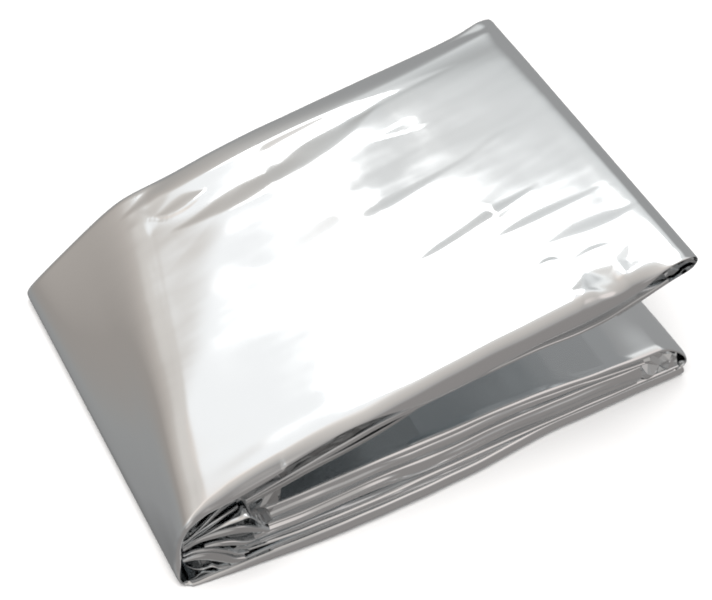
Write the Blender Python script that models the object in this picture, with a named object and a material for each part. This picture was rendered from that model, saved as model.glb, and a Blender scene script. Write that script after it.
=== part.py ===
"""Emergency foil blanket, folded to a packet, as one back-and-forth band of film.

The packet lies on its bottom pass with the main fold, the spine, along its left side (-X) and its
loose right side (+X) a little open.  A section across the packet, in X and Z, is one band: bottom
pass, up round the spine, top of the lifted flap, underside of the flap, and then three passes of
the lower stack, the last of which ends inside the curled right end.  The section changes from the
front edge to the back edge, and the stations between the two are joined into one closed solid.
"""
import math
from collections import namedtuple

import bmesh
import bpy

# ---- driving dimensions, in millimetres -----------------------------------------------------
DEPTH = 90.0              # front edge to back edge
FILM = 2.3                # one pass of the lower stack, a bundle of film layers
FILM_AT_SPINE = 1.9       # the same pass squeezed at the spine
FLAP_FILM = 1.7           # one pass of the flap
CORNER_ROUND = 6.0        # radius of the flap's back right corner
CORNER_PULL = 2.6         # how far that corner draws in
ROLL = 0.7                # how far the flap's two passes roll towards each other at their edges
WAVE_RUN = 41.0           # length of the slow waves in the lower stack's passes
WAVE_HEIGHT = 0.22        # how far a pass rises and dips on them
WAVE_EDGE = 0.45          # how far its front edge wanders on them

# ---- mesh fineness --------------------------------------------------------------------------
INNER_STATIONS = 11       # stations between the two rounded edges
NOSE = (                  # distance in from an edge, share of the full thickness
    (0.0, 0.30),
    (0.5, 0.74),
    (1.4, 0.95),
    (3.2, 1.00),
)

# A pass runs across the packet.  Its heights, of its middle, are given at four even places from
# its left end to its right end, on the front edge and on the back edge.  set_back is how far its
# front edge lies behind the packet's front line at the same four places.  roll moves the pass up
# at its edges, and wave is where on the slow waves it starts, as a share of one wave, or None.
Pass = namedtuple("Pass", "name steps thick x_front z_front x_back z_back set_back roll wave")
PASSES = {
    row.name: row
    for row in (
        Pass("bottom", 8, (FILM, FILM), (1.6, 120.2), (1.15, 1.15, 1.15, 1.15),
             (1.8, 119.0), (1.15, 1.15, 1.15, 1.15), (-2.2, -4.1, -2.3, -0.7), 0.0, None),
        Pass("flap_top", 20, (FLAP_FILM, FLAP_FILM), (4.2, 116.0), (16.3, 24.3, 30.6, 37.5),
             (26.6, 120.2), (18.7, 24.2, 29.8, 35.3), (1.4, 1.4, 1.4, 0.6), -ROLL, None),
        Pass("flap_under", 10, (FLAP_FILM, FLAP_FILM), (7.2, 113.8), (14.0, 20.9, 27.1, 34.4),
             (21.4, 118.8), (13.0, 20.2, 26.2, 32.1), (2.6, 2.0, 1.8, 1.2), ROLL, None),
        Pass("stack_top", 11, (FILM_AT_SPINE, FILM), (6.6, 112.2), (8.9, 11.2, 11.8, 10.7),
             (19.8, 111.2), (10.2, 11.2, 11.3, 10.7), (0.2, 0.8, 2.4, 1.2), 0.0, 0.0),
        Pass("stack_low", 8, (FILM_AT_SPINE, FILM), (5.6, 118.0), (4.0, 4.9, 5.1, 3.8),
             (12.8, 117.0), (4.0, 4.6, 4.6, 3.8), (-1.6, -3.0, -0.8, -0.2), 0.0, 0.37),
        Pass("stack_core", 8, (FILM_AT_SPINE, FILM), (5.8, 110.6), (6.45, 8.0, 8.5, 7.3),
             (13.0, 109.6), (6.5, 7.8, 7.9, 7.3), (-0.6, -0.8, 1.0, 1.2), 0.0, 0.71),
    )
}

# A fold joins the end of one pass to the end of the next.  reach_out and reach_in say how far the
# film runs on past the two ends before it turns.
Fold = namedtuple("Fold", "name steps side reach_out reach_in")
FLAP_END = Fold("flap_end", 6, +1, 3.6, 3.0)
HINGE = Fold("hinge", 6, -1, 3.4, 3.0)
CURL = Fold("curl", 8, +1, 5.4, 6.0)
CORE_END = Fold("core_end", 5, -1, 1.6, 1.6)

# The spine: the middle of the outer film on its way up, on the front edge and on the back edge,
# where it leans back as a wide ramp.
Rise = namedtuple("Rise", "name front back set_back")
SPINE = (
    Rise("foot", (0.1, 1.6), (0.2, 1.9), -0.4),
    Rise("heel", (0.1, 5.0), (2.4, 5.0), 2.0),
    Rise("ramp", (0.8, 10.6), (13.4, 11.4), 1.8),
    Rise("brow", (2.2, 14.6), (24.9, 18.3), 1.5),
)
SPINE_STEPS = 3           # steps for each rise

# The flap's main creases: soft troughs (depth below zero) and ridges, each a straight run between
# two places given as x and y from the packet's front left corner.
Crease = namedtuple("Crease", "name start end width depth")
CREASES = (
    Crease("back trough", (30.0, 82.0), (112.0, 84.0), 5.0, -0.5),
    Crease("long ridge", (28.0, 72.0), (74.0, 76.0), 6.0, 0.7),
    Crease("middle trough", (52.0, 40.0), (84.0, 58.0), 7.0, -0.6),
    Crease("tip ridge", (84.0, 22.0), (108.0, 36.0), 6.0, 0.5),
    Crease("front dent", (82.0, 8.0), (100.0, 6.0), 6.0, -0.7),
    Crease("shoulder dent", (30.0, 60.0), (44.0, 66.0), 6.0, -0.5),
)

MILLIMETRE = 0.001
FILM_SILVER = (0.72, 0.73, 0.74, 1.0)


def mix(first, last, share):
    """The value share of the way from first to last."""
    return first + (last - first) * share


def mix_point(first, last, share):
    """The point share of the way from one point to another."""
    return tuple(mix(a, b, share) for a, b in zip(first, last))


def curve_through(values, share):
    """A smooth curve through evenly spaced values, or points, read at share from 0 to 1."""
    spans = len(values) - 1
    place = min(max(share, 0.0), 1.0) * spans
    index = min(int(place), spans - 1)
    t = place - index
    here, there = values[index], values[index + 1]
    before = values[index - 1] if index > 0 else extend(there, here)
    after = values[index + 2] if index + 2 <= spans else extend(here, there)
    if isinstance(here, tuple):
        return tuple(hermite(*row, t) for row in zip(before, here, there, after))
    return hermite(before, here, there, after, t)


def extend(inner, end):
    """A value, or point, as far beyond end as inner lies before it."""
    if isinstance(end, tuple):
        return tuple(2 * b - a for a, b in zip(inner, end))
    return 2 * end - inner


def hermite(before, here, there, after, t):
    """Catmull-Rom interpolation between here and there."""
    slope_here = (there - before) / 2
    slope_there = (after - here) / 2
    return (
        here * (2 * t**3 - 3 * t**2 + 1)
        + slope_here * (t**3 - 2 * t**2 + t)
        + there * (3 * t**2 - 2 * t**3)
        + slope_there * (t**3 - t**2)
    )


def smooth_step(value):
    """0 below 0, 1 above 1, and an even rise between."""
    value = min(max(value, 0.0), 1.0)
    return value * value * (3 - 2 * value)


def wave(x, y, start):
    """The slow waves at a place, from -1 to 1."""
    return math.sin(2 * math.pi * (x / WAVE_RUN + y / (2 * WAVE_RUN) + start))


def crease_lift(x, y):
    """The height that the creases add to the flap at a place."""
    lift = 0.0
    for crease in CREASES:
        run = (crease.end[0] - crease.start[0], crease.end[1] - crease.start[1])
        length = math.hypot(*run)
        along = ((x - crease.start[0]) * run[0] + (y - crease.start[1]) * run[1]) / length
        across = ((x - crease.start[0]) * run[1] - (y - crease.start[1]) * run[0]) / length
        beyond = max(0.0, -along, along - length)
        lift += crease.depth * math.exp(-(across**2 + beyond**2) / crease.width**2)
    return lift


# One place on the band: its section coordinates, thickness, y on the two edges and edge roll.
Place = namedtuple("Place", "x z thick y_front y_back roll creased")


def pass_places(row, depth_share, from_left):
    """The places along one pass at a station, in the order in which the band runs."""
    left = mix(row.x_front[0], row.x_back[0], depth_share)
    right = mix(row.x_front[1], row.x_back[1], depth_share)
    flap = row.name.startswith("flap")
    if flap:
        from_back = (1.0 - depth_share) * DEPTH
        turn = min(max(1.0 - from_back / CORNER_ROUND, 0.0), 1.0)
        right -= CORNER_PULL * (1.0 - math.sqrt(1.0 - turn**2))
    places = []
    for step in range(row.steps + 1):
        share = step / row.steps
        x = mix(left, right, share)
        z = mix(curve_through(row.z_front, share), curve_through(row.z_back, share), depth_share)
        y_front = curve_through(row.set_back, share)
        inland = smooth_step(share * 8) * smooth_step((1 - share) * 8)
        if row.wave is not None:
            z += WAVE_HEIGHT * inland * wave(x, depth_share * DEPTH, row.wave)
            y_front += WAVE_EDGE * inland * wave(x, 0.0, row.wave)
        places.append(
            Place(x, z, mix(*row.thick, share), y_front, DEPTH, row.roll, inland if flap else 0.0)
        )
    return places if from_left else places[::-1]


def fold_places(fold, last, first):
    """The places inside the fold between one pass's last place and the next pass's first."""
    controls = (
        (last.x, last.z),
        (last.x + fold.side * fold.reach_out, last.z),
        (first.x + fold.side * fold.reach_in, first.z),
        (first.x, first.z),
    )
    places = []
    for step in range(1, fold.steps):
        t = step / fold.steps
        weights = ((1 - t)**3, 3 * t * (1 - t)**2, 3 * t**2 * (1 - t), t**3)
        x, z = (sum(w * c[axis] for w, c in zip(weights, controls)) for axis in (0, 1))
        places.append(
            Place(x, z, mix(last.thick, first.thick, t), mix(last.y_front, first.y_front, t),
                  DEPTH, mix(last.roll, first.roll, t), 0.0)
        )
    return places


def spine_places(last, first, depth_share):
    """The outer film's places between the bottom pass and the top of the flap."""
    knots = [(last.x, last.z, last.y_front)]
    for rise in SPINE:
        knots.append(mix_point(rise.front, rise.back, depth_share) + (rise.set_back,))
    knots.append((first.x, first.z, first.y_front))
    steps = SPINE_STEPS * (len(knots) - 1)
    places = []
    for step in range(1, steps):
        t = step / steps
        x, z, y_front = curve_through(knots, t)
        places.append(
            Place(x, z, mix(last.thick, first.thick, t), y_front, DEPTH,
                  mix(last.roll, first.roll, smooth_step(2 * t - 1)), 0.0)
        )
    return places


def band_places(depth_share):
    """Every place along the band's middle at one station."""
    bottom = pass_places(PASSES["bottom"], depth_share, from_left=False)
    top = pass_places(PASSES["flap_top"], depth_share, from_left=True)
    under = pass_places(PASSES["flap_under"], depth_share, from_left=False)
    stack = pass_places(PASSES["stack_top"], depth_share, from_left=True)
    low = pass_places(PASSES["stack_low"], depth_share, from_left=False)
    core = pass_places(PASSES["stack_core"], depth_share, from_left=True)
    band = bottom + spine_places(bottom[-1], top[0], depth_share) + top
    for fold, nearby in ((FLAP_END, under), (HINGE, stack), (CURL, low), (CORE_END, core)):
        band += fold_places(fold, band[-1], nearby[0]) + nearby
    return band


def stations():
    """Each station as its share of the depth, how thick the band is there and how near an edge."""
    rows = [(inset / DEPTH, share, 1.0 - smooth_step(inset / NOSE[-1][0])) for inset, share in NOSE]
    first = NOSE[-1][0] / DEPTH
    for step in range(1, INNER_STATIONS + 1):
        rows.append((mix(first, 1.0 - first, step / (INNER_STATIONS + 1)), 1.0, 0.0))
    rows += [(1.0 - along, share, near) for along, share, near in rows[len(NOSE) - 1::-1]]
    return rows


def band_sides(depth_share, thickness_share, edge_share):
    """The band's two faces at one station, as two lists of points in millimetres."""
    band = band_places(depth_share)
    left_side, right_side = [], []
    for index, place in enumerate(band):
        before = band[max(index - 1, 0)]
        after = band[min(index + 1, len(band) - 1)]
        run_x, run_z = after.x - before.x, after.z - before.z
        length = math.hypot(run_x, run_z)
        normal = (-run_z / length, run_x / length)
        y = mix(place.y_front, place.y_back, depth_share)
        lift = place.roll * edge_share + place.creased * crease_lift(place.x, y)
        half = place.thick * thickness_share / 2
        for side, points in ((1, left_side), (-1, right_side)):
            points.append(
                (place.x + side * normal[0] * half, y, place.z + lift + side * normal[1] * half)
            )
    return left_side, right_side


def build_band(name):
    """The whole folded blanket as one closed mesh, its origin under the middle of its box."""
    mesh = bmesh.new()
    rings = []
    for station in stations():
        left_side, right_side = band_sides(*station)
        ring = [mesh.verts.new(point) for point in left_side + right_side[::-1]]
        rings.append(ring)
    count = len(rings[0])
    for near, far in zip(rings, rings[1:]):
        for index in range(count):
            following = (index + 1) % count
            mesh.faces.new((near[index], near[following], far[following], far[index]))
    half = count // 2
    for ring in (rings[0], rings[-1]):
        for index in range(half - 1):
            mesh.faces.new((ring[index], ring[index + 1], ring[-index - 2], ring[-index - 1]))
    bmesh.ops.recalc_face_normals(mesh, faces=mesh.faces[:])
    xs = [vert.co.x for vert in mesh.verts]
    ys = [vert.co.y for vert in mesh.verts]
    middle = ((min(xs) + max(xs)) / 2, (min(ys) + max(ys)) / 2, 0.0)
    bmesh.ops.translate(mesh, verts=mesh.verts[:], vec=[-value for value in middle])
    bmesh.ops.scale(mesh, verts=mesh.verts[:], vec=(MILLIMETRE,) * 3)
    data = bpy.data.meshes.new(name)
    mesh.to_mesh(data)
    mesh.free()
    return data


def film_material():
    """Metallised film: bright, smooth and metallic."""
    material = bpy.data.materials.new("Metallised film")
    material.use_nodes = True
    surface = material.node_tree.nodes["Principled BSDF"]
    surface.inputs["Base Color"].default_value = FILM_SILVER
    surface.inputs["Metallic"].default_value = 1.0
    surface.inputs["Roughness"].default_value = 0.18
    return material


def main():
    for thing in list(bpy.data.objects):
        bpy.data.objects.remove(thing, do_unlink=True)
    name = "foil_blanket"
    blanket = bpy.data.objects.new(name, build_band(name))
    blanket.data.materials.append(film_material())
    blanket.data.shade_smooth()
    blanket.data.set_sharp_from_angle(angle=math.radians(50))
    bpy.context.scene.collection.objects.link(blanket)


main()
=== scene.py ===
import math
from collections import namedtuple

import bmesh
import bpy
import numpy as np
from bpy.props import FloatProperty, FloatVectorProperty, PointerProperty
from mathutils import Matrix, Vector


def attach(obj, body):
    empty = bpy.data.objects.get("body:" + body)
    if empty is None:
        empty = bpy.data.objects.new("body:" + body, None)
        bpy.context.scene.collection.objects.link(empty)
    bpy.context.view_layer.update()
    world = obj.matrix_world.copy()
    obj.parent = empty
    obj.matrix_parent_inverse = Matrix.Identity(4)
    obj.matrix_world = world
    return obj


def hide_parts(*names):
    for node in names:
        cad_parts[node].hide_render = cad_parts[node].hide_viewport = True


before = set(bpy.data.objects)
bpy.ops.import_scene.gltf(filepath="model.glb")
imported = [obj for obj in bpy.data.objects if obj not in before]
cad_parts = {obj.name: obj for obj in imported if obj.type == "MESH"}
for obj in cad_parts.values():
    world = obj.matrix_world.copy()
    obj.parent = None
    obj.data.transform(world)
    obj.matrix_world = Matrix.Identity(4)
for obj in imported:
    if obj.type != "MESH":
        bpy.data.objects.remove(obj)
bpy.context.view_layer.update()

bl_info = {
    "name": "Folded foil blanket",
    "version": (1, 0, 0),
    "blender": (4, 5, 0),
    "location": "3D View > Sidebar > Foil blanket",
    "description": "Builds the folded metallised film of an emergency blanket and a small studio",
    "category": "Add Mesh",
}

SOLID = "foil_blanket"

# ---- the folded section, in millimetres from the packet's front left corner on the surface ----
CORNER = (-60.827, -42.975, 0.0)  # that corner, in the frame
DEPTH = 90.0  # front edge to back edge
MILLIMETRE = 0.001

# A line of film along the packet: where its front and back edges run, how far the front edge is
# set back, and how far its two faces, out and under, lie from its middle.  Each pass of the fold
# is given by values at even places from its left end to its right end.
Line = namedtuple("Line", "x_front z_front x_back z_back set_back out under")
BOTTOM = Line((1.6, 120.2), (1.15,) * 4, (1.8, 119.0), (1.15,) * 4,
              (-1.7, -3.2, -4.1, -3.9, -3.0, -1.3, -1.0, -0.7),
              (1.15,) * 4, (0.5, -1.0, -1.6, -1.7, -1.6, -1.6, -1.5, -1.2))
FLAP_TOP = Line((7.0, 116.0), (17.0, 24.6, 30.8, 37.5), (31.0, 120.2),
                (19.5, 24.8, 30.1, 35.3), (1.9, 2.3, 2.5, 1.4, 1.4, 1.2, 0.9, 0.6),
                (0.85,) * 4, (-0.8, -0.9, -0.6, -0.5, -4.2, -5.4, -4.8, -5.6, -4.9, -0.8))
FLAP_UNDER = Line((5.0, 115.2), (11.5, 15.4, 21.2, 24.4, 27.2, 28.3, 34.4),
                  (21.4, 118.8), (13.0, 20.2, 26.2, 32.1), (2.2, 2.7, 1.9, 1.5, 1.0, 0.6, 0.4),
                  (0.5,) * 4, (-0.9, -1.0, -0.7, -0.2, -0.2, -0.6))
FLAP_SECOND = Line((3.4, 60.0), (11.0, 15.2, 19.6, 24.4), (18.0, 64.0),
                   (12.6, 15.6, 18.6, 21.8), (2.4, 2.2, 2.0, 1.8, 2.6),
                   (0.7,) * 4, (-0.6, -0.7, -0.3, 0.4))
STACK_TOP = Line((10.0, 112.6), (9.4, 9.8, 10.8, 10.9, 11.7, 11.4, 10.6),
                 (19.8, 116.0), (10.2, 11.4, 11.5, 11.2),
                 (2.3, 2.0, 1.5, 1.3, 1.2, 0.9, 0.2, 0.0), (0.6, 0.6, 0.6, 0.7),
                 (-0.6, -0.6, -0.6, -0.8))
STACK_CORE = Line((12.0, 109.0), (7.6, 8.2, 9.2, 9.3, 10.1, 9.8, 9.0),
                  (13.0, 107.6), (8.2, 9.6, 9.7, 9.1), (1.8, 1.5, 0.9, 0.8, 0.8, 0.3, -0.2),
                  (0.8,) * 4, (-1.3, -2.0, -1.7, -1.7, -1.0, -0.3))
STACK_MID = Line((12.0, 108.0), (5.2, 5.0, 6.3, 6.2, 7.0, 7.4, 7.4),
                 (13.0, 107.6), (5.6, 7.0, 7.1, 6.4), (0.3, -0.1, -0.5, -0.7, -0.6, -1.0, -1.0),
                 (0.9, 0.9, 1.2, 1.3), (-1.6, -1.5, -2.7, -2.5, -3.0, -3.1))
STACK_LOW = Line((10.0, 118.4), (3.2, 3.0, 2.9, 3.1, 3.6, 3.8, 3.5),
                 (12.8, 117.0), (4.0, 4.2, 4.2, 3.6), (-0.5, -1.6, -1.6, -1.0, -1.0, -1.0, -0.8),
                 (0.4,) * 4, (-0.3,) * 4)

# The outer film's way up the spine, on the front edge and on the back edge.
Rise = namedtuple("Rise", "name front back set_back")
SPINE = (
    Rise("foot", (0.1, 1.6), (0.2, 1.9), -0.2),
    Rise("heel", (0.1, 5.0), (2.4, 5.0), 1.6),
    Rise("ramp", (0.8, 10.4), (12.6, 11.2), 1.8),
    Rise("brow", (2.6, 14.9), (24.0, 17.6), 1.4),
)
SPINE_FACES = {"out": 1.0, "under": -0.9}  # the film's two faces there, from its middle

# A notch in the flap's front, right of which the film's lower edge springs up and settles again.
Notch = namedtuple("Notch", "x rise step fade")
NOTCHES = (Notch(24.0, 0.8, 0.7, 6.0), Notch(104.0, 2.6, 8.0, 60.0))
NOTCH_TOP = 0.3  # the highest that the lower edge springs, from the film's middle

# A fold to the right: how far its curve reaches out of one pass and into the next.
Fold = namedtuple("Fold", "reach_out reach_in")
FLAP_END = Fold(3.6, 3.0)
CURL = Fold(4.2, 4.5)
CURL_FACES = {"out": (0.8,), "under": (0.2,)}  # its two faces where it meets the lowest pass
TURNED_FROM = 0.86  # the share of the flap where its turned-under end stops
TURNED_FACE = 0.55  # that end's lower face, from its middle

# The outer film's way along the packet, in stations.  The last two are round the flap's right end
# and under it.
BOTTOM_STATIONS, SPINE_STATIONS, FLAP_STATIONS = 60, 76, 226
END_STATIONS, TURNED_STATIONS = 16, 20
FLAP_START = BOTTOM_STATIONS + SPINE_STATIONS
CORNER_SOFTNESS = (7, 23)  # stations over which corners round off, front and back
# The spine's heel stops this short of the back edge.  Counted from the spine's first station, that
# fades in from the first to the second of these stations and out from the third to the last.
HEEL_SHORT = 2.2
HEEL_STATIONS = (-30, -4, 26, 64)
# The flap's creases and swells begin so many stations before the flap, end so many past it and
# fade over so many.
RELIEF_BEFORE, RELIEF_PAST, RELIEF_FADE = 20, 2, 35
RELIEF_FROM = 0.6  # how high up a nose they begin, as a share of its height
LINING_STATIONS, CURL_STATIONS, LEAF_STATIONS = 160, 24, 60

# The film's way from its front edge to its back edge, in steps: over its top and under it.
OUTER_STEPS = 176
LINING_STEPS, STACK_STEPS, LEAF_STEPS = (90, 40), (80, 20), (16, 16)
LIP, LIP_STEPS = 5.0, 6  # how far an open film turns in under each edge

# How a pass's front and back edges round off: how deep the rounding goes, how square it is and in
# how many steps it is drawn.
Nose = namedtuple("Nose", "depth square steps")
FLAP_NOSE = Nose(4.2, 1.0, 34)
SLANT_NOSE = Nose(3.4, 1.0, 34)
STACK_NOSE = Nose(2.6, 1.0, 34)
TOP_NOSE = Nose(2.2, 1.0, 24)
MID_NOSE = Nose(2.4, 0.8, 34)
LOW_NOSE = Nose(1.3, 1.0, 34)
LEAF_NOSE = Nose(1.2, 1.0, 16)
THIN_NOSE = Nose(0.5, 0.9, 10)
BACK_NOSE = Nose(1.6, 0.8, 10)
# The flap's front edge slants at its left, as far right as the first of these, and turns fully
# round over the length that the second gives.
SLANT_END, SLANT_FADE = 24.0, 22.0
NOSE_FADE = 25  # stations over which one kind of nose turns into another

# ---- creases pressed into the flap ----
# A crease is a crest from its tip to its tail, bowed sideways, behind which the film falls away
# over its width and in front of which it rises gently over its lead.  peak is where along it the
# width is greatest, and fall is the slope.
Crease = namedtuple("Crease", "name tip tail bow width peak fall lead")
CREASES = (
    Crease("back roll", (22.2, 84.2), (127.2, 86.1), -1.9, 14.0, 0.32, 0.107, 14.5),
    Crease("long trough", (30.0, 72.9), (86.3, 79.2), -6.5, 9.1, 0.5, 0.054, 7.2),
    Crease("long ridge", (54.8, 80.6), (94.7, 79.6), 1.3, 2.4, 0.1, -0.077, 5.9),
    Crease("wedge trough", (56.3, 46.8), (94.0, 52.8), -0.3, 3.8, 0.23, 0.026, 3.4),
    Crease("middle trough", (60.9, 31.5), (102.3, 36.8), -1.8, 3.7, 0.62, 0.048, 1.3),
    Crease("short trough", (80.9, 28.5), (113.1, 28.3), -1.1, 3.2, 0.44, 0.032, 4.7),
    Crease("tip trough", (92.9, 21.1), (118.4, 19.6), -2.0, 4.4, 0.37, 0.028, 4.0),
    Crease("hooked trough", (92.0, 12.3), (106.4, 13.2), 0.8, 1.8, 0.6, 0.051, 1.1),
    Crease("tick", (88.0, 15.8), (95.1, 15.6), 0.9, 1.2, 0.72, 0.078, 0.8),
    Crease("fine tick", (83.9, 22.4), (91.9, 23.4), -0.6, 1.4, 0.66, 0.032, 2.0),
    Crease("upper glint", (81.5, 70.4), (91.0, 70.5), -0.0, 0.4, 0.55, -0.094, 5.2),
    Crease("lower glint", (76.6, 70.9), (93.6, 67.0), -1.1, 0.4, 0.43, -0.078, 10.4),
    Crease("faint trough", (48.6, 74.4), (68.6, 34.6), 2.6, 14.0, 0.19, 0.012, 15.6),
    Crease("shoulder trough", (27.6, 79.3), (42.3, 79.3), -2.2, 4.5, 0.61, 0.050, 0.8),
    Crease("upper fold", (75.1, 78.0), (107.4, 80.2), 0.3, 3.5, 0.18, -0.030, 1.2),
    Crease("wedge fold", (87.0, 51.5), (106.8, 55.1), -0.7, 2.0, 0.72, 0.011, 2.3),
    Crease("short fold", (89.6, 31.9), (87.6, 39.6), -2.5, 1.5, 0.5, 0.045, 5.2),
    Crease("middle fold", (42.0, 45.5), (70.9, 53.8), -0.5, 7.1, 0.45, -0.027, 1.8),
)
CREASE_TAPER = 1.2  # how fast a crease narrows towards its ends
# A dent is a shallow pit or peak with straight sides, as film shows where creases meet.
Dent = namedtuple("Dent", "name place long wide turn height")
DENTS = (
    Dent("front facet", (100.1, 2.8), 6.0, 5.0, -33.0, -0.3),
    Dent("front peak", (94.1, 5.6), 5.7, 3.7, 57.0, 0.22),
    Dent("tip facet", (106.4, 7.6), 3.6, 6.0, -36.0, -0.14),
    Dent("tip hollow", (100.2, 5.8), 6.0, 4.9, -57.0, -0.27),
    Dent("shoulder pit", (29.8, 83.9), 6.0, 4.4, -5.0, -0.09),
    Dent("shoulder dash", (29.8, 78.0), 4.7, 0.5, -37.0, -0.13),
    Dent("ramp facet", (26.4, 79.5), 5.8, 4.9, 82.0, 0.08),
)
# A swell is a slow rise or sag of the film, high in its middle and long one way.
Swell = namedtuple("Swell", "name place long wide turn height")
SWELLS = (
    Swell("left front swell", (21.7, 6.0), 13.0, 4.0, 2.0, 0.32),
    Swell("shoulder dip", (24.5, 80.8), 11.5, 27.4, -37.0, -0.33),
    Swell("upper left swell", (44.4, 63.2), 28.5, 8.5, -19.0, 0.16),
    Swell("left hollow", (51.1, 24.2), 5.0, 14.1, -32.0, -0.35),
    Swell("middle swell", (68.9, 37.0), 7.4, 26.4, 3.0, 0.26),
    Swell("crown", (64.6, 69.0), 40.0, 30.0, 74.0, 0.5),
    Swell("tip sag", (107.7, 8.4), 40.0, 18.8, 80.0, -0.27),
    Swell("middle dome", (75.6, 44.7), 16.5, 25.9, 35.0, 0.08),
    Swell("upper dip", (87.9, 63.8), 30.1, 5.9, -16.0, -0.03),
    Swell("back corner dip", (102.9, 85.0), 26.9, 5.5, -2.0, -0.39),
    Swell("front left sag", (26.4, -5.9), 10.5, 6.2, 56.0, -0.24),
    Swell("shoulder ridge", (28.0, 46.4), 6.9, 28.8, -32.0, 0.28),
    Swell("shoulder ripple", (27.5, 58.1), 5.0, 12.1, -19.0, 0.04),
    Swell("spine side swell", (19.7, 14.8), 21.1, 15.9, -83.0, 0.28),
    Swell("left long swell", (25.8, 31.1), 37.1, 12.0, 13.0, 0.22),
    Swell("left middle swell", (46.2, 50.0), 24.1, 12.2, 27.0, 0.19),
    Swell("front middle swell", (56.2, -2.3), 29.0, 10.9, -31.0, 0.25),
)

# The swell at the right of the stack, seen through the open wedge.
STACK_SWELL = Swell("stack swell", (114.5, 7.0), 7.0, 14.0, 0.0, 0.40)

# Crumple all over a film: its height, how far it is drawn out along the packet, how far it leans
# with the distance back, and the size and seed of its swells.
Ripple = namedtuple("Ripple", "height drawn lean run seed")
FLAP_RIPPLES = (Ripple(0.05, 0.45, 0.0, 17.0, 3), Ripple(0.016, 0.24, 0.1, 6.0, 11),
                Ripple(0.005, 0.28, 0.1, 2.6, 19))
LINING_RIPPLE = Ripple(0.12, 0.5, 0.0, 14.0, None)  # each lining brings its own seed
STACK_RIPPLE = Ripple(0.10, 0.5, 0.0, 15.0, 7)

# A slow and a quick wander along an edge or a layer: its height, its lane in the noise and its
# size.
Stray = namedtuple("Stray", "height lane run")
EDGE_STRAYS = (Stray(0.6, 0.0, 26.0), Stray(0.4, 3.1, 8.0))
LAYER_STRAYS = (Stray(0.5, 0.0, 38.0), Stray(0.25, 4.0, 11.0))
LAYER_SEED = 2  # what the layers add to their film's seed
OUTER_WANDER, OUTER_SEED = 0.35, 5  # how far the outer film's front edge wanders
INNER_WANDER = 0.3  # how far the other films' front edges do

# Grooves along a front nose, where one folded layer ends and the next begins: how deep they are,
# and how wide as a share of the nose.  They come and go along the packet by this noise.
GROOVE_DEPTH, GROOVE_WIDE = 0.45, 0.07
GROOVE_STRENGTH, GROOVE_STRAY = 0.55, Stray(1.6, 2.7, 24.0)
GROOVE_SEED = 40  # what the grooves add to their film's seed

# The inner films of the flap: each one's pass, how far right it reaches, its painted shade (its
# film darkened to stand in for the shade under the flap) and its seed.
Lining = namedtuple("Lining", "name row right shade seed")
LININGS = (Lining("flap_lining", FLAP_UNDER, 0.97, 0.90, 23),
           Lining("flap_second", FLAP_SECOND, 1.0, 0.68, 27))
# The films of the lower stack from the top down: each one's pass, stations and nose, where its
# grooves run and its seed.  The lowest runs back leftwards.
Layer = namedtuple("Layer", "name row stations nose grooves seed")
LAYERS = (Layer("stack_top_film", STACK_TOP, 230, TOP_NOSE, (), 51),
          Layer("stack_core_film", STACK_CORE, 220, STACK_NOSE, (0.3, 0.7), 61),
          Layer("stack_mid_film", STACK_MID, 220, MID_NOSE, (0.25, 0.5, 0.75), 66),
          Layer("stack_low_film", STACK_LOW, 150, LEAF_NOSE, (), 71))
# The inner films' looks, as shares of the outer film's crumple, haze and brightness; the lower
# brightness is painted shade, the same film darkened to stand in for the shade inside the folds.
LINING_LOOK = {"crumple": 0.3, "haze": 2.0}
STACK_LOOK = {"crumple": 0.15, "shade": 0.96}
LEAF_LOOK = {"crumple": 0.3, "shade": 0.82}
CRUMPLED_LOOK = {"crumple": 0.3}

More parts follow.
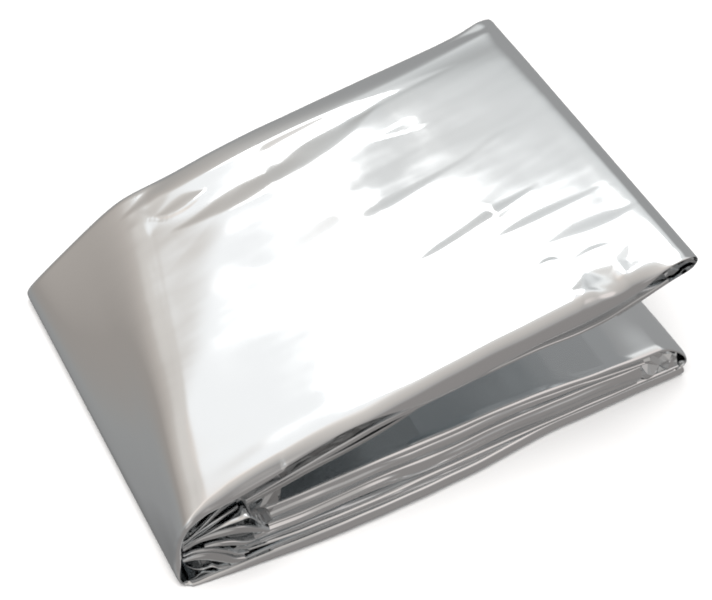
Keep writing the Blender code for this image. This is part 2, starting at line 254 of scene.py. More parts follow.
# ---- leaves of inner film that show between the outer film and the stack, at the spine ----
# Each leaf is a thin flattened tube.  Its edge is given as x, y and z along the front, back is how
# far back it reaches along it, and drop is how much lower it lies there.
Leaf = namedtuple("Leaf", "name edge thick back drop")
LEAN = 0.17  # how far the spine leans right for each millimetre back
LEAF_TIP = 0.3  # the share of its thickness that a leaf has at its ends
LEAVES = (
    Leaf("leaf_over", ((1.4, 1.8, 10.0), (4.4, 1.8, 12.0), (8.6, 2.6, 14.2), (13.4, 4.0, 15.6),
                       (18.4, 4.8, 16.7), (23.4, 5.0, 17.8)), 0.8, (26.0, 26.0, 20.0), 2.0),
    Leaf("leaf_inner", ((1.6, 2.2, 9.9), (5.0, 1.6, 12.3), (9.4, 1.4, 14.2), (13.6, 1.8, 15.2)),
         0.6, (26.0, 26.0, 20.0), 2.0),
    Leaf("leaf_peak", ((1.2, 1.6, 9.6), (5.0, 0.6, 12.0), (9.4, -0.6, 14.2), (12.4, -1.3, 15.0),
                       (14.4, -1.7, 15.4), (15.6, -2.0, 14.2), (17.2, -2.2, 11.9),
                       (19.5, -1.6, 11.2)), 0.50, (26.0, 26.0, 22.0, 14.0, 7.0), 3.0),
    Leaf("leaf_upper", ((1.4, 1.6, 8.4), (4.6, 0.8, 10.4), (8.8, -0.5, 11.4), (12.6, -1.4, 11.4),
                        (15.6, -2.0, 10.4), (18.4, -2.2, 8.8)), 2.4, (20.0, 20.0), 2.0),
    Leaf("leaf_small", ((5.4, 0.4, 8.6), (8.0, -0.6, 8.7), (10.4, -1.2, 8.2), (13.0, -1.8, 7.4),
                        (15.4, -1.6, 7.0)), 1.5, (14.0, 14.0), 1.0),
    Leaf("leaf_middle", ((1.2, 1.6, 6.6), (3.6, 1.0, 7.2), (6.6, 0.0, 7.0), (9.4, -0.8, 5.6),
                         (11.6, -1.4, 4.2), (14.0, -1.4, 3.6)), 1.1, (20.0, 20.0), 1.0),
    Leaf("leaf_lower", ((1.0, 1.6, 4.8), (3.4, 0.8, 5.2), (6.0, 0.0, 4.8), (8.6, -0.8, 3.4),
                        (10.6, -1.6, 2.4), (13.0, -1.8, 2.2)), 2.6, (18.0, 18.0), 0.5),
    Leaf("leaf_foot", ((1.4, 1.4, 3.6), (2.8, 0.8, 2.2), (4.4, 0.4, 1.4), (6.2, -0.4, 2.2),
                       (7.6, -1.2, 1.6), (9.4, -1.6, 1.6)), 0.5, (14.0, 14.0), 0.0),
)

# Crumpled ends of inner film, which face the front: their reach in x and in z at the left and the
# right, how far back they lie, how rough they are, the size of one facet, their painted shade (the
# film darkened to stand in for the shade of the recess each lies in) and their seed.
Crumple = namedtuple("Crumple", "name x z_left z_right y rough facet shade seed")
CRUMPLE_RUN = 4.0  # size of their slow crumple
CORNER_DEPTH = 2.0  # how much deeper than that single corners go
CORNER_SLIP = 0.7  # how far corners stray sideways, as a share of a facet
CRUMPLES = (
    Crumple("crumple_curl", (108.0, 118.6), (4.6, 10.4), (2.6, 8.2), 0.7, 1.2, 1.6, 0.90, 4),
    Crumple("crumple_spine", (14.0, 21.8), (8.8, 10.4), (7.8, 15.0), 2.4, 0.6, 1.9, 0.60, 9),
    Crumple("crumple_back", (2.6, 24.0), (1.6, 12.8), (3.0, 17.8), 4.6, 0.9, 2.4, 0.62, 21),
    Crumple("crumple_gap", (24.0, 50.0), (15.6, 19.8), (22.6, 25.2), 3.6, 0.5, 2.2, 0.36, 31),
    Crumple("crumple_tip", (103.0, 116.5), (32.4, 34.9), (34.4, 37.0), 4.2, 0.5, 1.3, 0.70, 14),
)

# ---- the studio, in metres ----
CAMERA_PLACE = (-0.1203, -0.2326, 0.2964)
CAMERA_DOWN = 47.35  # degrees below the horizon
CAMERA_ROUND = 27.41  # degrees from +Y towards +X

# A light panel: its middle, the direction along its first side, and its two sides.
Panel = namedtuple("Panel", "middle along sides")
SOFTBOX = Panel((0.135, 1.02, 1.268), (0.587, -0.675, 0.447), (0.62, 0.27))
WASH = Panel((0.0, 0.0, 2.4), (1.0, 0.0, 0.0), (3.0, 3.0))
FLOOR_REACH = 6.0  # from the middle of the floor to its edges
SENSOR = 36.0  # the camera's sensor, in millimetres
NEAR, FAR = 0.01, 50.0  # what the camera sees between
MIRRORINGS = 14  # film lying on film mirrors itself many times over
SOFT_FOCUS = 1.9  # how softly the camera draws fine edges, in pixels

# The walls' greys from the floor, 0, to overhead, 1.
WALL_STOPS = ((0.0, "#7A7A7A"), (0.12, "#7D7D7D"), (0.25, "#939393"), (0.50, "#9B9B9A"),
              (0.63, "#9E9E9D"), (0.70, "#ADADAC"), (0.77, "#BCBCBB"), (0.83, "#CCCECE"),
              (0.89, "#E8E9E9"), (0.925, "#FAFAF9"), (0.96, "#DBD7D3"), (1.0, "#C9C3BE"))
# A wall, or a soft pool of light on the ceiling, in one direction.  edge and full are the cosines
# where it begins and where it is whole.
Wall = namedtuple("Wall", "name way edge full blend colour gain")
WALLS = (
    Wall("right wall", (0.842, 0.501, -0.200), 0.36, 0.50, "MIX", "#9E9E9E", 1.0),
    Wall("front wall", (0.0, -1.0, 0.0), -0.12, 0.75, "MIX", "#908C8A", 1.0),
    Wall("warm wall", (-0.50, 0.65, 0.57), 0.70, 0.97, "MULTIPLY", "#FFF5EE", 1.0),
    Wall("ceiling glow", (-0.180, 0.589, 0.788), 0.961, 0.990, "LIGHTEN", "#FFF9F3", 0.70),
    Wall("right ceiling", (0.40, -0.22, 0.89), 0.955, 0.990, "LIGHTEN", "#EDE4E0", 1.0),
    Wall("left front glow", (-0.45, -0.75, 0.48), 0.860, 0.960, "LIGHTEN", "#BDB9B6", 1.0),
    Wall("softbox glow", (-0.066, 0.626, 0.777), 0.985, 0.998, "LIGHTEN", "#FFFFFF", 0.99),
)


# ---- small shared helpers ----
def linear(hex_colour):
    """An sRGB hex colour such as '#C0C4C8' as linear red, green, blue and alpha."""
    parts = [int(hex_colour[i:i + 2], 16) / 255 for i in (1, 3, 5)]
    return (*(c / 12.92 if c <= 0.04045 else ((c + 0.055) / 1.055) ** 2.4 for c in parts), 1.0)


def smooth_step(value):
    """0 below 0, 1 above 1, and an even rise between."""
    value = np.clip(value, 0.0, 1.0)
    return value * value * (3 - 2 * value)


def even_curve(values, share):
    """A smooth curve through evenly spaced values, read at every share from 0 to 1."""
    values = np.asarray(values, float)
    spans = len(values) - 1
    padded = np.concatenate([[2 * values[0] - values[1]], values, [2 * values[-1] - values[-2]]])
    place = np.clip(share, 0.0, 1.0) * spans
    index = np.minimum(place.astype(int), spans - 1)
    t = place - index
    before, here, there, after = (padded[index + k] for k in range(4))
    slope_here, slope_there = (there - before) / 2, (after - here) / 2
    return (here * (2 * t**3 - 3 * t**2 + 1) + slope_here * (t**3 - 2 * t**2 + t)
            + there * (3 * t**2 - 2 * t**3) + slope_there * (t**3 - t**2))


def evened(values, stations):
    """A value for each station, evened out over this many of them."""
    padded = np.pad(values, stations // 2, mode="edge")
    return np.convolve(padded, np.ones(stations) / stations, mode="valid")


def rumple(u, v, run, seed):
    """Smooth noise from about -1 to 1 over two distances, one swell about every run of them."""
    cells = 64
    turns = np.random.default_rng(seed).uniform(0.0, 2 * math.pi, (cells, cells))
    u, v = np.broadcast_arrays(np.asarray(u, float) / run, np.asarray(v, float) / run)
    cell_u, cell_v = np.floor(u).astype(int), np.floor(v).astype(int)
    u, v = u - cell_u, v - cell_v
    fade_u, fade_v = (w**3 * (w * (w * 6 - 15) + 10) for w in (u, v))
    total = np.zeros(u.shape)
    for du in (0, 1):
        for dv in (0, 1):
            turn = turns[(cell_u + du) % cells, (cell_v + dv) % cells]
            weight = (fade_u if du else 1 - fade_u) * (fade_v if dv else 1 - fade_v)
            total += weight * (np.cos(turn) * (u - du) + np.sin(turn) * (v - dv))
    return total * 1.5  # the sum itself reaches about two thirds


# ---- the film's path through the section ----
def pass_line(row, stations, left=0.0, right=1.0, rightwards=True):
    """The film's places along one pass, or a share of it."""
    share = np.linspace(left, right, stations)
    if not rightwards:
        share = share[::-1]
    return Line(*(even_curve(values, share) for values in row))


def fold_line(fold, last, first, stations):
    """The film's places round the fold between one line's end and the next line's start."""
    t = np.linspace(0, 1, stations + 2)[1:-1]
    weights = ((1 - t)**3, 3 * t * (1 - t)**2, 3 * t**2 * (1 - t), t**3)
    columns = {}
    for edge in ("front", "back"):
        end = (getattr(last, "x_" + edge)[-1], getattr(last, "z_" + edge)[-1])
        start = (getattr(first, "x_" + edge)[0], getattr(first, "z_" + edge)[0])
        handles = (end, (end[0] + fold.reach_out, end[1]),
                   (start[0] + fold.reach_in, start[1]), start)
        columns["x_" + edge] = sum(w * h[0] for w, h in zip(weights, handles))
        columns["z_" + edge] = sum(w * h[1] for w, h in zip(weights, handles))
    for name in ("set_back", "out", "under"):
        end, start = getattr(last, name)[-1], getattr(first, name)[0]
        columns[name] = end + (start - end) * t
    return Line(**columns)


def spine_line(last, first, stations):
    """The outer film's places up the spine, from the bottom pass to the top of the flap."""
    t = np.linspace(0, 1, stations + 2)[1:-1]
    columns = {}
    for axis, letter in enumerate("xz"):
        for edge in ("front", "back"):
            name = f"{letter}_{edge}"
            knots = [getattr(last, name)[-1]] + [getattr(r, edge)[axis] for r in SPINE]
            columns[name] = even_curve(knots + [getattr(first, name)[0]], t)
    set_back = [last.set_back[-1]] + [r.set_back for r in SPINE] + [first.set_back[0]]
    columns["set_back"] = even_curve(set_back, t)
    for name, face in SPINE_FACES.items():
        knots = [getattr(last, name)[-1]] * 2 + [face] * 3 + [getattr(first, name)[0]]
        columns[name] = even_curve(knots, t)
    return Line(**columns)


def joined(*lines):
    """Lines end to end as one."""
    return Line(*(np.concatenate(columns) for columns in zip(*lines)))


def softened(line, front, back):
    """The same line with its corners rounded over this many stations, front and back."""
    columns = {}
    for edge, reach in (("front", front), ("back", back)):
        weights = np.hanning(reach + 2)[1:-1]
        for name in ("x_" + edge, "z_" + edge):
            padded = np.pad(getattr(line, name), reach // 2, mode="reflect", reflect_type="odd")
            columns[name] = np.convolve(padded, weights / weights.sum(), mode="valid")
    return line._replace(**columns)


# ---- the film's way round a pass, from its front edge to its back edge ----
Round = namedtuple("Round", "share inset height nose")


def round_nose(nose, falling):
    """Inset and height round one edge, from the under face up, or from the top face down."""
    angle = np.linspace(-math.pi / 2, math.pi / 2, nose.steps)
    if falling:
        angle = angle[::-1]
    sine, cosine = np.sin(angle), np.clip(np.cos(angle), 0.0, 1.0)
    height = 0.5 + 0.5 * np.sign(sine) * np.abs(sine) ** nose.square
    return nose.depth * (1 - cosine ** nose.square), height


def way_round(front, back, top_steps, under_steps=0):
    """The whole way round: closed through the under face, or open with a lip at each edge."""
    front_inset, front_height = round_nose(front, falling=False)
    back_inset, back_height = round_nose(back, falling=True)
    top = np.linspace(0, 1, top_steps + 2)[1:-1]
    share = [np.zeros(front.steps), top, np.ones(back.steps)]
    inset = [front_inset, front.depth * (1 - top) - back.depth * top, -back_inset]
    height = [front_height, np.ones(top_steps), back_height]
    nose = [np.ones(front.steps), np.zeros(top_steps), -np.ones(back.steps)]
    if under_steps:
        under = np.linspace(1, 0, under_steps + 2)[1:]
        share.append(under)
        inset.append(front.depth * (1 - under) - back.depth * under)
        height.append(np.zeros(under_steps + 1))
        nose.append(np.zeros(under_steps + 1))
    else:
        reach = np.linspace(LIP, 0, LIP_STEPS + 1)[:-1]
        none = np.zeros(LIP_STEPS)
        share = [none] + share + [np.ones(LIP_STEPS)]
        inset = [front.depth + reach] + inset + [-back.depth - reach[::-1]]
        height = [none] + height + [none]
        nose = [none] + nose + [none]
    return Round(*(np.concatenate(column) for column in (share, inset, height, nose)))


def film_places(line, around, back_y=DEPTH):
    """Every place of a film in millimetres, with its outward direction, as two arrays."""
    wide = {name: getattr(line, name)[:, None] for name in Line._fields}
    y = wide["set_back"] + (back_y - wide["set_back"]) * around.share + around.inset
    deep = (y - wide["set_back"]) / (back_y - wide["set_back"])
    x = wide["x_front"] + (wide["x_back"] - wide["x_front"]) * deep
    z = wide["z_front"] + (wide["z_back"] - wide["z_front"]) * deep
    run_x, run_z = np.gradient(x, axis=0), np.gradient(z, axis=0)
    length = np.hypot(run_x, run_z)
    normal = np.stack([-run_z / length, np.zeros_like(x), run_x / length], axis=-1)
    offset = wide["under"] + (wide["out"] - wide["under"]) * around.height
    places = np.stack([x, y, z], axis=-1) + normal * offset[..., None]
    return places, normal


def film_mesh(name, places, closed, smooth):
    """A film's mesh: an even grid with each corner moved to its place, in the frame's metres."""
    stations, steps = places.shape[:2]
    film = bmesh.new()
    bmesh.ops.create_grid(film, x_segments=stations - 1, y_segments=steps - 1, size=0.5)
    metres = (places + np.array(CORNER)) * MILLIMETRE
    for vert in film.verts:
        station = round((vert.co.x + 0.5) * (stations - 1))
        step = round((vert.co.y + 0.5) * (steps - 1))
        vert.co = metres[station, step]
    if closed:
        seam = [v for v in film.verts if v.is_boundary]
        bmesh.ops.remove_doubles(film, verts=seam, dist=1e-7)
    for face in film.faces:
        face.smooth = smooth
    data = bpy.data.meshes.new(name)
    film.to_mesh(data)
    film.free()
    return data


def add_film(name, places, material, closed=False, flip=False, smooth=True):
    """Adds a film to the scene and rides it on the packet."""
    data = film_mesh(name, places, closed, smooth)
    if flip:
        data.flip_normals()
    data.materials.append(material)
    film = bpy.data.objects.new(name, data)
    bpy.context.scene.collection.objects.link(film)
    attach(film, "root")
    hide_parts(SOLID)


# ---- relief ----
def turned_about(place, turn, x, y):
    """Distances along and across a direction, from one place."""
    turn = math.radians(turn)
    along = (x - place[0]) * math.cos(turn) + (y - place[1]) * math.sin(turn)
    across = (y - place[1]) * math.cos(turn) - (x - place[0]) * math.sin(turn)
    return along, across


def crease_relief(x, y):
    """The height that the flap's creases and dents add at each place."""
    relief = np.zeros_like(x)
    for crease in CREASES:
        run = np.subtract(crease.tail, crease.tip)
        length = float(np.hypot(*run))
        along = ((x - crease.tip[0]) * run[0] + (y - crease.tip[1]) * run[1]) / length
        aside = ((y - crease.tip[1]) * run[0] - (x - crease.tip[0]) * run[1]) / length
        share = np.clip(along / length, 0.0, 1.0)
        aside = aside - crease.bow * 4 * share * (1 - share)
        lens = np.where(share < crease.peak, share / crease.peak,
                        (1 - share) / (1 - crease.peak))
        width = crease.width * np.sin(lens * math.pi / 2) ** CREASE_TAPER + 1e-6
        side = np.exp(np.minimum(aside, 0.0) / crease.lead) * (1 - smooth_step(aside / width))
        relief += crease.fall * width * side
    for dent in DENTS:
        along, across = turned_about(dent.place, dent.turn, x, y)
        reach = np.abs(along) / dent.long + np.abs(across) / dent.wide
        relief += dent.height * smooth_step(1 - reach)
    return relief


def swell_relief(swell, x, y):
    """The height that one swell adds at each place."""
    along, across = turned_about(swell.place, swell.turn, x, y)
    return swell.height * np.exp(-(along / swell.long) ** 2 - (across / swell.wide) ** 2)


def ripple_relief(ripple, x, y):
    """The height that one crumple adds at each place."""
    across = x * ripple.drawn - y * ripple.lean
    return ripple.height * rumple(across, y, ripple.run, ripple.seed)


def flap_swells(x, y):
    """Slow swells and fine crumple of the flap, drawn out along the packet."""
    relief = sum(ripple_relief(ripple, x, y) for ripple in FLAP_RIPPLES)
    for swell in SWELLS:
        relief += swell_relief(swell, x, y)
    return relief


def straying(x, strays, seed):
    """A slow and a quick wander along the packet."""
    return sum(stray.height * rumple(x, stray.lane, stray.run, seed + index)
               for index, stray in enumerate(strays))


def wandering(line, reach, seed):
    """The same line with its front edge wandering in and out by up to about reach."""
    stray = straying(line.x_front, EDGE_STRAYS, seed)
    return line._replace(set_back=line.set_back + reach * stray)


def layered(around, line, seed):
    """The same way round with its rows rising and dipping along the pass, as layers do."""
    stray = straying(line.x_front[:, None], LAYER_STRAYS, seed + LAYER_SEED)
    height = around.height + stray * around.height * (1 - around.height) * (around.nose > 0)
    return around._replace(height=height)


def grooved(places, around, rows, seed):
    """The same places with a fine groove along the front nose at each row."""
    x = places[:, :1, 0]
    steps = np.cumsum(around.nose > 0) / max((around.nose > 0).sum(), 1)
    groove = np.zeros(places.shape[:2])
    for index, row in enumerate(rows):
        stray = GROOVE_STRAY.height * rumple(x, index * GROOVE_STRAY.lane, GROOVE_STRAY.run,
                                             seed + GROOVE_SEED + index)
        groove += (smooth_step(GROOVE_STRENGTH + stray)
                   * np.exp(-((steps - row) / GROOVE_WIDE) ** 2))
    places[..., 1] += GROOVE_DEPTH * groove * (around.nose > 0)
    return places


# ---- the outer film ----
def outer_line(wander):
    """The outer film's whole line: bottom, spine, top of the flap and its turned-under end."""
    bottom = pass_line(BOTTOM, BOTTOM_STATIONS, rightwards=False)
    top = pass_line(FLAP_TOP, FLAP_STATIONS)
    for notch in NOTCHES:
        past = top.x_front - notch.x
        spring = smooth_step(past / notch.step) * np.exp(-np.maximum(past, 0.0) / notch.fade)
        top = top._replace(under=np.minimum(top.under + notch.rise * spring, NOTCH_TOP))
    thin = FLAP_UNDER._replace(under=(TURNED_FACE,) * 4)
    turned = pass_line(thin, TURNED_STATIONS, left=TURNED_FROM, rightwards=False)
    spine = spine_line(bottom, top, SPINE_STATIONS)
    end = fold_line(FLAP_END, top, turned, END_STATIONS)
    line = softened(joined(bottom, spine, top, end, turned), *CORNER_SOFTNESS)
    return wandering(line, wander, OUTER_SEED)


def outer_way_round(line):
    """Its way round: low along the bottom, slanting at the flap's left and full right of it."""
    full, low, slant = (way_round(nose, BACK_NOSE, OUTER_STEPS)
                        for nose in (FLAP_NOSE, LOW_NOSE, SLANT_NOSE))
    slanted = np.where(slant.nose > 0, SLANT_NOSE.depth * (1 - np.sqrt(1 - slant.height**2)),
                       slant.inset)
    deep, left = np.zeros(len(line.x_front)), np.zeros(len(line.x_front))
    on_flap = slice(FLAP_START, FLAP_START + FLAP_STATIONS + END_STATIONS // 2)
    deep[on_flap] = smooth_step((line.x_front[on_flap] - SLANT_END) / SLANT_FADE)
    left[on_flap] = 1.0 - deep[on_flap]
    deep, left = (evened(share, NOSE_FADE)[:, None] for share in (deep, left))
    inset = low.inset + (full.inset - low.inset) * deep + (slanted - low.inset) * left
    return full._replace(inset=inset)


def outer_back(line):
    """How far back the outer film reaches at each station."""
    stations = np.arange(len(line.x_front)) - BOTTOM_STATIONS
    short = np.interp(stations, HEEL_STATIONS, (0, 1, 1, 0))
    return DEPTH - HEEL_SHORT * smooth_step(short)[:, None]


def flap_share(line, around):
    """Where the flap's relief shows: 1 on top of the flap, 0 elsewhere and down its noses."""
    flap = np.zeros(len(line.x_front))
    flap[FLAP_START - RELIEF_BEFORE:FLAP_START + FLAP_STATIONS + RELIEF_PAST] = 1.0
    inland = smooth_step((around.height - RELIEF_FROM) / (1 - RELIEF_FROM))
    return smooth_step(evened(flap, RELIEF_FADE))[:, None] * inland


# ---- materials ----
def add_node(tree, kind, settings=None, inputs=None, links=None):
    """Adds one node, sets its settings and inputs and links its inputs."""
    node = tree.nodes.new(kind)
    for name, value in (settings or {}).items():
        setattr(node, name, value)
    for name, value in (inputs or {}).items():
        node.inputs[name].default_value = value
    for name, socket in (links or {}).items():
        tree.links.new(socket, node.inputs[name])
    return node


HAZE_SIZE = 0.012  # metres across a patch of haze
HAZE_LEAST, HAZE_MOST = 0.7, 1.4  # the film's roughness there, as shares of its own
CRUMPLE_SIZE, FINE_SIZE = 0.005, 0.0014  # metres across a crumple, and across a finer one
FINE_HEIGHT = 0.06  # the finer crumple's height, as a share of the other's
DRAWN_OUT = 0.45  # crumples are longer along the packet than across it


def metallised_film(name, colour, crumple, roughness):
    """Polyester film with a vacuum-laid aluminium skin."""
    # To the eye it is a thin mirror: it shows bright and dark shapes of what is round it, a little
    # softened by the roller's haze and broken into streaks by the film's shallow crumples.
    material = bpy.data.materials.new(name)
    material.use_nodes = True
    tree = material.node_tree
    surface = tree.nodes["Principled BSDF"]
    surface.inputs["Base Color"].default_value = (*colour, 1.0)
    surface.inputs["Metallic"].default_value = 1.0
    where = add_node(tree, "ShaderNodeTexCoord").outputs["Object"]
    drawn = add_node(tree, "ShaderNodeMapping", inputs={"Scale": (DRAWN_OUT, 1.0, 1.0)},
                     links={"Vector": where}).outputs["Vector"]
    # the metal skin is a little uneven, which shows as patches of more and less haze
    haze = add_node(tree, "ShaderNodeTexNoise", inputs={"Scale": 1 / HAZE_SIZE, "Detail": 3.0},
                    links={"Vector": where}).outputs["Fac"]
    rough = add_node(tree, "ShaderNodeMapRange",
                     inputs={"From Min": 0.3, "From Max": 0.7,
                             "To Min": roughness * HAZE_LEAST, "To Max": roughness * HAZE_MOST},
                     links={"Value": haze})
    tree.links.new(rough.outputs["Result"], surface.inputs["Roughness"])
    # shallow crumples with finer ones on them, drawn coarser than the film's finest would show
    wide = add_node(tree, "ShaderNodeTexNoise", inputs={"Scale": 1 / CRUMPLE_SIZE, "Detail": 1.0},
                    links={"Vector": drawn}).outputs["Fac"]
    fine = add_node(tree, "ShaderNodeTexNoise", inputs={"Scale": 1 / FINE_SIZE, "Detail": 2.0},
                    links={"Vector": where}).outputs["Fac"]
    first = add_node(tree, "ShaderNodeBump",
                     inputs={"Strength": 1.0, "Distance": crumple * MILLIMETRE},
                     links={"Height": wide}).outputs["Normal"]
    last = add_node(tree, "ShaderNodeBump",
                    inputs={"Strength": 1.0, "Distance": crumple * FINE_HEIGHT * MILLIMETRE},
                    links={"Height": fine, "Normal": first}).outputs["Normal"]
    tree.links.new(last, surface.inputs["Normal"])
    return material


def matt_board(name, colour):
    """Board rolled with matt wall paint, for the floor."""
    # To the eye it is even and pale, with no shine of its own.
    material = bpy.data.materials.new(name)
    material.use_nodes = True
    surface = material.node_tree.nodes["Principled BSDF"]
    surface.inputs["Base Color"].default_value = (*colour, 1.0)
    surface.inputs["Roughness"].default_value = 0.9
    surface.inputs["Specular IOR Level"].default_value = 0.2
    return material


# ---- properties ----
class FoilFolds(bpy.types.PropertyGroup):
    crease_depth: FloatProperty(
        name="Crease depth", description="Depth of the flap's creases and dents, 1 as modelled",
        subtype="FACTOR", min=0.0, max=2.0, default=1.0)
    swell_height: FloatProperty(
        name="Swell height", description="Height of the flap's slow swells, 1 as modelled",
        subtype="FACTOR", min=0.0, max=2.0, default=1.0)
    edge_wander: FloatProperty(
        name="Edge wander", description="How far the front edges wander, 1 as modelled",
        subtype="FACTOR", min=0.0, max=2.0, default=1.0)


class FoilFinish(bpy.types.PropertyGroup):
    colour: FloatVectorProperty(
        name="Film colour", description="Colour of the aluminium skin", subtype="COLOR", size=3,
        min=0.0, max=1.0, default=linear("#F2F4F5")[:3])
    roughness: FloatProperty(
        name="Roughness", description="How much the film softens what it mirrors",
        subtype="FACTOR", min=0.0, max=1.0, default=0.08)
    crumple: FloatProperty(
        name="Crumple", description="Height of the film's fine crumple, in millimetres",
        min=0.0, max=1.0, default=0.008)


class FoilStudio(bpy.types.PropertyGroup):
    floor_colour: FloatVectorProperty(
        name="Floor colour", description="Colour of the floor", subtype="COLOR", size=3,
        min=0.0, max=1.0, default=linear("#F2F2F2")[:3])
    softbox_power: FloatProperty(
        name="Softbox", description="Brightness of the softbox that the film mirrors, in watts",
        unit="POWER", min=0.0, default=0.66)
    wash_power: FloatProperty(
        name="Floor wash", description="Brightness of the light over the floor, in watts",
        unit="POWER", min=0.0, default=80.0)
    lens: FloatProperty(
        name="Lens", description="Focal length in millimetres on a 36 mm wide sensor",
        unit="CAMERA", min=1.0, default=88.48)


# ---- operators ----
def scene_film(crumple=1.0, haze=1.0, shade=1.0):
    """The film's material, made once for each strength of crumple, haze and painted shade, which
    darkens the film's colour to stand in for shade in the folds.
    """
    finish = bpy.context.scene.foil_finish
    name = f"metallised polyester film {crumple:.2f} {haze:.1f} {shade:.2f}"
    made = bpy.data.materials.get(name)
    if made:
        return made
    # painted shade: the film's colour is darkened by this share to stand in for the shade inside
    # the folds
    colour = [part * shade for part in finish.colour]
    return metallised_film(name, colour, finish.crumple * crumple, finish.roughness * haze)


class FOIL_OT_outer_film(bpy.types.Operator):
    """Adds the outer film: bottom, spine, top of the flap and the flap's end"""
    bl_idname = "foil.outer_film"
    bl_label = "Outer film"

    def execute(self, context):
        folds = context.scene.foil_folds
        line = outer_line(OUTER_WANDER * folds.edge_wander)
        around = outer_way_round(line)
        places, normal = film_places(line, around, outer_back(line))
        x, y = places[..., 0], places[..., 1]
        relief = (folds.crease_depth * crease_relief(x, y)
                  + folds.swell_height * flap_swells(x, y))
        places += normal * (flap_share(line, around) * relief)[..., None]
        add_film("outer_film", places, scene_film())
        return {"FINISHED"}


class FOIL_OT_flap_lining(bpy.types.Operator):
    """Adds the inner films on the underside of the flap, down to the hinge"""
    bl_idname = "foil.flap_lining"
    bl_label = "Flap lining"

    def execute(self, context):
        wander = INNER_WANDER * context.scene.foil_folds.edge_wander
        around = way_round(THIN_NOSE, THIN_NOSE, *LINING_STEPS)
        for lining in LININGS:
            line = pass_line(lining.row, LINING_STATIONS, right=lining.right, rightwards=False)
            places, normal = film_places(wandering(line, wander, lining.seed), around)
            ripple = LINING_RIPPLE._replace(seed=lining.seed)
            places += normal * ripple_relief(ripple, places[..., 0], places[..., 1])[..., None]
            # painted shade: the lining's film is darkened to stand in for the shade under the flap
            material = scene_film(shade=lining.shade, **LINING_LOOK)
            add_film(lining.name, places, material, closed=True)
        return {"FINISHED"}


class FOIL_OT_stack(bpy.types.Operator):
    """Adds the passes of the lower stack, with the curl at its right end"""
    bl_idname = "foil.stack"
    bl_label = "Stack"

    def execute(self, context):
        wander = INNER_WANDER * context.scene.foil_folds.edge_wander
        lines = [pass_line(layer.row, layer.stations, rightwards=layer.row is not STACK_LOW)
                 for layer in LAYERS]
        curl = fold_line(CURL, lines[0], lines[-1]._replace(**CURL_FACES), CURL_STATIONS)
        lines[0] = joined(lines[0], curl)
        for layer, line in zip(LAYERS, lines):
            line = wandering(line, wander, layer.seed)
            around = layered(way_round(layer.nose, BACK_NOSE, *STACK_STEPS), line, layer.seed)
            places, _ = film_places(line, around)
            places = grooved(places, around, layer.grooves, layer.seed)
            x, y = places[..., 0], places[..., 1]
            places[..., 2] += ripple_relief(STACK_RIPPLE, x, y) + swell_relief(STACK_SWELL, x, y)
            # painted shade: the stack's film is a little darker than the outer film, for the shade
            # under the flap
            add_film(layer.name, places, scene_film(**STACK_LOOK), closed=True)
        return {"FINISHED"}


class FOIL_OT_leaves(bpy.types.Operator):
    """Adds the leaves of inner film at the spine"""
    bl_idname = "foil.leaves"
    bl_label = "Leaves"

    def execute(self, context):
        around = way_round(LEAF_NOSE, THIN_NOSE, *LEAF_STEPS)
        share = np.linspace(0, 1, LEAF_STATIONS)
        for leaf in LEAVES:
            x, y, z = (even_curve(column, share) for column in zip(*leaf.edge))
            half = leaf.thick / 2 * (LEAF_TIP + (1 - LEAF_TIP) * np.sin(math.pi * share))
            back = even_curve(leaf.back, share)
            line = Line(x, z, x + LEAN * back, z - leaf.drop, y, half, -half)
            places, _ = film_places(line, around, back[:, None])
            # painted shade: the leaves' film is darkened to stand in for the shade at the spine
            add_film(leaf.name, places, scene_film(**LEAF_LOOK), closed=True)
        return {"FINISHED"}


class FOIL_OT_crumples(bpy.types.Operator):
    """Adds the crumpled ends of inner film in the curl, at the spine and in the flap's tip"""
    bl_idname = "foil.crumples"
    bl_label = "Crumples"

    def execute(self, context):
        for crumple in CRUMPLES:
            wide = crumple.x[1] - crumple.x[0]
            tall = max(side[1] - side[0] for side in (crumple.z_left, crumple.z_right))
            across, upwards = (max(round(reach / crumple.facet), 3) for reach in (wide, tall))
            share = np.linspace(0, 1, across + 1)[:, None]
            up = np.linspace(0, 1, upwards + 1)[None, :]
            x = crumple.x[0] + wide * share + 0 * up
            low, high = (left + (right - left) * share
                         for left, right in zip(crumple.z_left, crumple.z_right))
            z = low + (high - low) * up
            stray = np.random.default_rng(crumple.seed).uniform(-0.5, 0.5, (3,) + x.shape)
            slow = rumple(x, z, CRUMPLE_RUN, crumple.seed)
            y = crumple.y + crumple.rough * (CORNER_DEPTH * stray[1] + slow)
            slip = CORNER_SLIP * crumple.facet
            places = np.stack(np.broadcast_arrays(
                x + slip * stray[0], y, z + slip * stray[2] * (up > 0) * (up < 1)), axis=-1)
            # painted shade: each crumple's film is darkened to stand in for the shade of its
            # recess
            material = scene_film(shade=crumple.shade, **CRUMPLED_LOOK)
            add_film(crumple.name, places, material, flip=True, smooth=False)
        return {"FINISHED"}


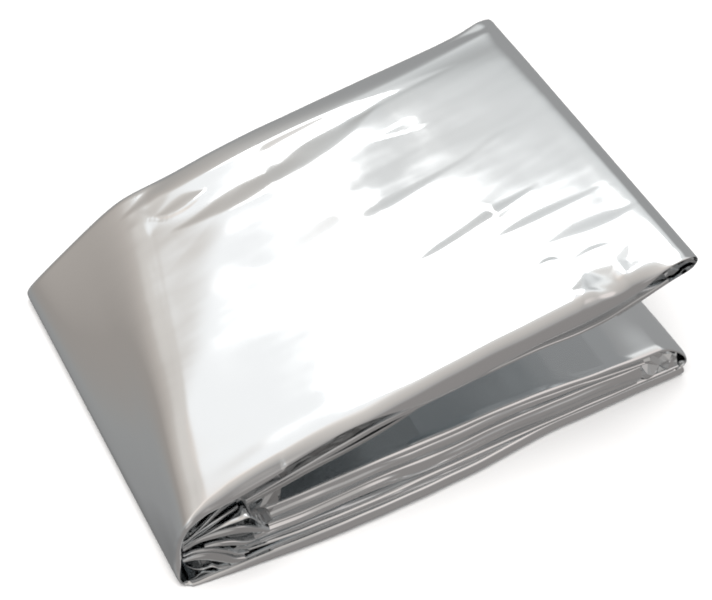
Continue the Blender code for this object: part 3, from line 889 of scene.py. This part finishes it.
class FOIL_OT_studio(bpy.types.Operator):
    """Adds the floor, the soft studio lights, the surroundings and the camera"""
    bl_idname = "foil.studio"
    bl_label = "Studio"

    def execute(self, context):
        studio = context.scene.foil_studio
        mesh = bmesh.new()
        bmesh.ops.create_grid(mesh, x_segments=1, y_segments=1, size=FLOOR_REACH)
        data = bpy.data.meshes.new("floor")
        mesh.to_mesh(data)
        mesh.free()
        data.materials.append(matt_board("painted board", studio.floor_colour))
        floor = bpy.data.objects.new("floor", data)
        floor.visible_glossy = False
        context.scene.collection.objects.link(floor)
        place_light("softbox", studio.softbox_power, SOFTBOX)
        place_light("floor wash", studio.wash_power, WASH, mirrored=False)
        surroundings()
        camera = bpy.data.cameras.new("camera")
        camera.lens, camera.sensor_width = studio.lens, SENSOR
        camera.clip_start, camera.clip_end = NEAR, FAR
        eye = bpy.data.objects.new("camera", camera)
        eye.location = CAMERA_PLACE
        eye.rotation_euler = (math.radians(90 - CAMERA_DOWN), 0.0, math.radians(-CAMERA_ROUND))
        context.scene.collection.objects.link(eye)
        context.scene.camera = eye
        context.scene.view_settings.view_transform = "Standard"
        context.scene.cycles.max_bounces = context.scene.cycles.glossy_bounces = MIRRORINGS
        context.scene.cycles.filter_width = SOFT_FOCUS
        return {"FINISHED"}


def place_light(name, power, panel, mirrored=True):
    """Adds a rectangular light that faces the packet, and shows in its mirror film or does not."""
    light = bpy.data.lights.new(name, "AREA")
    light.shape, light.energy = "RECTANGLE", power
    light.size, light.size_y = panel.sides
    lamp = bpy.data.objects.new(name, light)
    lamp.visible_glossy = mirrored
    back = Vector(panel.middle).normalized()
    along = Vector(panel.along)
    along = (along - back * along.dot(back)).normalized()
    up = back.cross(along)
    turn = Matrix((along, up, back)).transposed().to_4x4()
    lamp.matrix_world = Matrix.Translation(panel.middle) @ turn
    bpy.context.scene.collection.objects.link(lamp)


def surroundings():
    """The studio's walls: grey low down and paler higher up, warm towards the spine."""
    world = bpy.data.worlds.new("studio walls")
    bpy.context.scene.world = world
    world.use_nodes = True
    tree = world.node_tree
    background = tree.nodes["Background"]
    where = add_node(tree, "ShaderNodeTexCoord").outputs["Generated"]
    height = add_node(tree, "ShaderNodeSeparateXYZ", links={"Vector": where}).outputs["Z"]
    ramp = add_node(tree, "ShaderNodeValToRGB",
                    links={"Fac": add_node(tree, "ShaderNodeMapRange",
                                           inputs={"From Min": -1.0, "From Max": 1.0},
                                           links={"Value": height}).outputs["Result"]})
    elements = ramp.color_ramp.elements
    for index, (place, colour) in enumerate(WALL_STOPS):
        stop = elements[index] if index < 2 else elements.new(place)
        stop.position, stop.color = place, linear(colour)
    walls = ramp.outputs["Color"]
    for wall in WALLS:
        aside = add_node(tree, "ShaderNodeVectorMath", {"operation": "DOT_PRODUCT"},
                         links={0: where}).outputs["Value"]
        aside.node.inputs[1].default_value = wall.way
        near = add_node(tree, "ShaderNodeMapRange", {"interpolation_type": "SMOOTHSTEP"},
                        {"From Min": wall.edge, "From Max": wall.full},
                        {"Value": aside}).outputs["Result"]
        # the node's sockets 6 and 7 are its two colours, and its output 2 is the mixed one
        mixed = add_node(tree, "ShaderNodeMix", {"data_type": "RGBA", "blend_type": wall.blend},
                         {7: [wall.gain * part for part in linear(wall.colour)[:3]] + [1.0]},
                         {"Factor": near, 6: walls})
        walls = mixed.outputs[2]
    tree.links.new(walls, background.inputs["Color"])
    background.inputs["Strength"].default_value = 1.0


class FOIL_PT_sidebar(bpy.types.Panel):
    """Lists the packet's films and the studio in the sidebar"""
    bl_idname = "FOIL_PT_sidebar"
    bl_label = "Foil blanket"
    bl_space_type = "VIEW_3D"
    bl_region_type = "UI"
    bl_category = "Foil blanket"

    def draw(self, context):
        layout = self.layout
        scene = context.scene
        for group in (scene.foil_folds, scene.foil_finish, scene.foil_studio):
            for name in group.__annotations__:
                layout.prop(group, name)
        for operator in OPERATORS:
            layout.operator(operator.bl_idname)


OPERATORS = (FOIL_OT_outer_film, FOIL_OT_flap_lining, FOIL_OT_stack, FOIL_OT_leaves,
             FOIL_OT_crumples, FOIL_OT_studio)
CLASSES = (FoilFolds, FoilFinish, FoilStudio) + OPERATORS + (FOIL_PT_sidebar,)


def register():
    for item in CLASSES:
        bpy.utils.register_class(item)
    bpy.types.Scene.foil_folds = PointerProperty(type=FoilFolds)
    bpy.types.Scene.foil_finish = PointerProperty(type=FoilFinish)
    bpy.types.Scene.foil_studio = PointerProperty(type=FoilStudio)


def unregister():
    del bpy.types.Scene.foil_studio
    del bpy.types.Scene.foil_finish
    del bpy.types.Scene.foil_folds
    for item in reversed(CLASSES):
        bpy.utils.unregister_class(item)


def main():
    register()
    bpy.ops.foil.outer_film()
    bpy.ops.foil.flap_lining()
    bpy.ops.foil.stack()
    bpy.ops.foil.leaves()
    bpy.ops.foil.crumples()
    bpy.ops.foil.studio()


if __name__ == "__main__":
    main()
